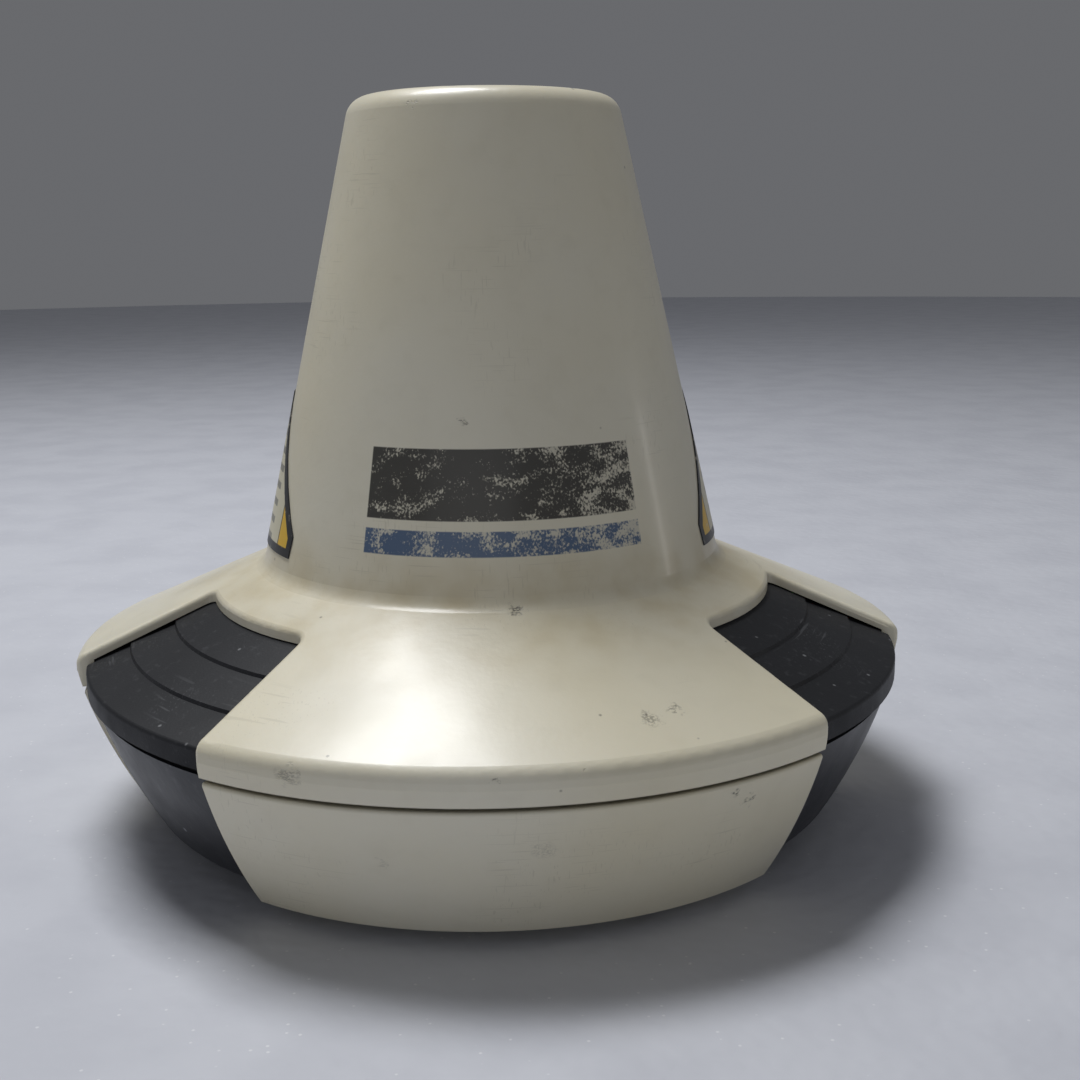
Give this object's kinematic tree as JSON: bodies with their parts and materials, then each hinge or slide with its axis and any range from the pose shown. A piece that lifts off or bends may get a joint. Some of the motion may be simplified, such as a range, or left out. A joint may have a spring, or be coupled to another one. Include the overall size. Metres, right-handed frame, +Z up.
{
  "type": "marine dome antenna",
  "caption": "Small marine satellite dome antenna: conical radome with flared lobes over a dark stepped deck, cast bowl with skirts, and a hub threaded for a one inch pole.",
  "frame": {"origin": "on the pole axis at the hub's resting face, which is also the mouth of the pole thread", "axes": "+Z up along the pole axis towards the radome's crown; the front lobe faces -Y; +X to the right seen from the front"},
  "size_m": [0.1716, 0.1696, 0.145],
  "materials": {
    "black_nylon": "moulded",
    "bush_brass": "machined",
    "capacitor_sleeve": "satin can",
    "cast_paint": "satin powder coat",
    "chip_epoxy": "moulded",
    "circuit_board": "solder mask",
    "coax_jacket": "extruded",
    "connector_nickel": "plated satin",
    "contact_gold": "plated",
    "copper": "tape",
    "deck_plastic": "matt moulded",
    "ferrite": "sintered",
    "foam": "open cell",
    "gasket_rubber": "matt",
    "helix_plastic": "moulded",
    "ivory_plastic": "satin moulded, aged",
    "plane_aluminium": "turned",
    "plate_foil": "satin",
    "stainless": "machined",
    "sticker_film": "satin film",
    "tinned_steel": "satin"
  },
  "bodies": {
    "base": {"deck_ring": "deck_plastic", "rim_gasket": "gasket_rubber", "lower_housing": "cast_paint", "skirt_front": "ivory_plastic", "skirt_right": "ivory_plastic", "skirt_left": "ivory_plastic", "skirt_screws": "stainless", "housing_screws": "stainless", "pole_bush": "bush_brass", "pole_lock_screws": "stainless", "connector_shell": "connector_nickel", "connector_insulator": "black_nylon", "connector_pins": "contact_gold", "connector_seal": "gasket_rubber", "connector_nut": "connector_nickel", "vent_plug": "black_nylon", "vent_seal": "gasket_rubber", "vent_nut": "black_nylon", "earth_screw": "stainless", "earth_washer": "stainless", "rating_plate": "plate_foil", "main_board": "circuit_board", "board_standoffs": "bush_brass", "plane_standoffs": "bush_brass", "rf_shield": "tinned_steel", "digital_shield": "tinned_steel", "supply_capacitors": "capacitor_sleeve", "supply_inductor": "ferrite", "board_chips": "chip_epoxy", "ground_plane": "plane_aluminium", "plane_screws": "stainless", "helix_base": "helix_plastic", "base_screws": "stainless", "helix_former": "helix_plastic", "helix_arms": "copper", "feed_board": "circuit_board", "feed_coax": "coax_jacket", "helix_cap": "helix_plastic", "foam_pad": "foam"},
    "cover": {"radome": "ivory_plastic", "screw_inserts": "bush_brass", "side_stickers": "sticker_film"}
  },
  "joints": [
    {"name": "radome_lift", "type": "slide", "parent": "base", "child": "cover", "axis": [0, 0, 1], "range_m": [0, 0.115]}
  ]
}
